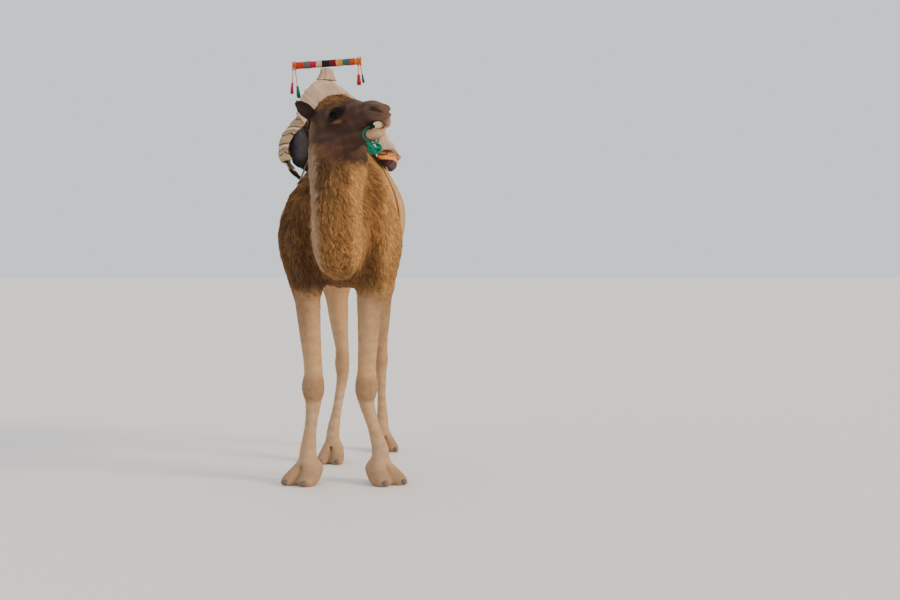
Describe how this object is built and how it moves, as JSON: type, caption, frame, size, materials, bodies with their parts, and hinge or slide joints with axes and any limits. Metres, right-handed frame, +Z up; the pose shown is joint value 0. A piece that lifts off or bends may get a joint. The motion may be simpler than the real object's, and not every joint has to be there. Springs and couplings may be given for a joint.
{
  "type": "dromedary camel",
  "caption": "Life-size dromedary camel standing still, head turned to its left, with saddle pad, blankets, girth, handle and a cord round its jaw.",
  "frame": {"origin": "middle of the whole model's footprint box, on the ground under the four feet", "axes": "+Z up; the camel faces -Y and its left side is +X, so the body's length runs along Y"},
  "size_m": [0.7354, 2.4358, 2.3189],
  "materials": {
    "coat_tan": "matte, short golden-tan hair, woolly on neck and shoulders",
    "coat_leg": "matte, short pale cream-tan hair",
    "coat_face": "matte, short dark brown hair",
    "coat_tail": "matte, long brown hair",
    "eye": "wet gloss, very dark brown",
    "nail": "dull horn, grey-brown",
    "frame_metal": "worn dark paint",
    "handle_wrap": "wound cloth strips of several colours",
    "cloth_cream": "soft pinkish-beige wool blanket",
    "cloth_striped": "coarse woven blanket, beige with black and white zigzags",
    "cloth_slate": "stuffed pad, slate-grey cotton",
    "cloth_burgundy": "stuffed pad, burgundy cotton with an orange woven band",
    "fringe": "black wool",
    "webbing": "woven cotton strap, cream with dark edges",
    "wool_pink": "dyed wool, crimson pink",
    "wool_green": "dyed wool, green",
    "wool_red": "dyed wool, red",
    "wool_black": "dyed wool, blue-black",
    "cord_orange": "twisted wool cord, orange",
    "rope_green": "twisted cord, sea green"
  },
  "bodies": {
    "root": {"trunk": "coat_tan", "neck": "coat_tan", "head": "coat_face", "lower_jaw": "coat_face", "tail": "coat_tail", "saddle_frame": "frame_metal", "handle_bar": "handle_wrap", "post_wrap": "cloth_cream", "pad_right": "cloth_slate", "pad_left": "cloth_burgundy", "blanket_cream": "cloth_cream", "blanket_striped": "cloth_striped", "fringe": "fringe", "girth": "webbing", "jaw_rope": "rope_green", "tassel_right_pink": "wool_pink", "tassel_right_green": "wool_green", "tassel_left_red": "wool_red", "tassel_left_black": "wool_black", "cord_right_pink": "cord_orange", "cord_right_green": "cord_orange", "cord_left_red": "cord_orange", "cord_left_black": "cord_orange", "leg_front_left": "coat_leg", "toenail_front_left_left": "nail", "toenail_front_left_right": "nail", "leg_front_right": "coat_leg", "toenail_front_right_left": "nail", "toenail_front_right_right": "nail", "leg_hind_left": "coat_leg", "toenail_hind_left_left": "nail", "toenail_hind_left_right": "nail", "leg_hind_right": "coat_leg", "toenail_hind_right_left": "nail", "toenail_hind_right_right": "nail", "ear_left": "coat_face", "eye_left": "eye", "ear_right": "coat_face", "eye_right": "eye"}
  },
  "joints": []
}
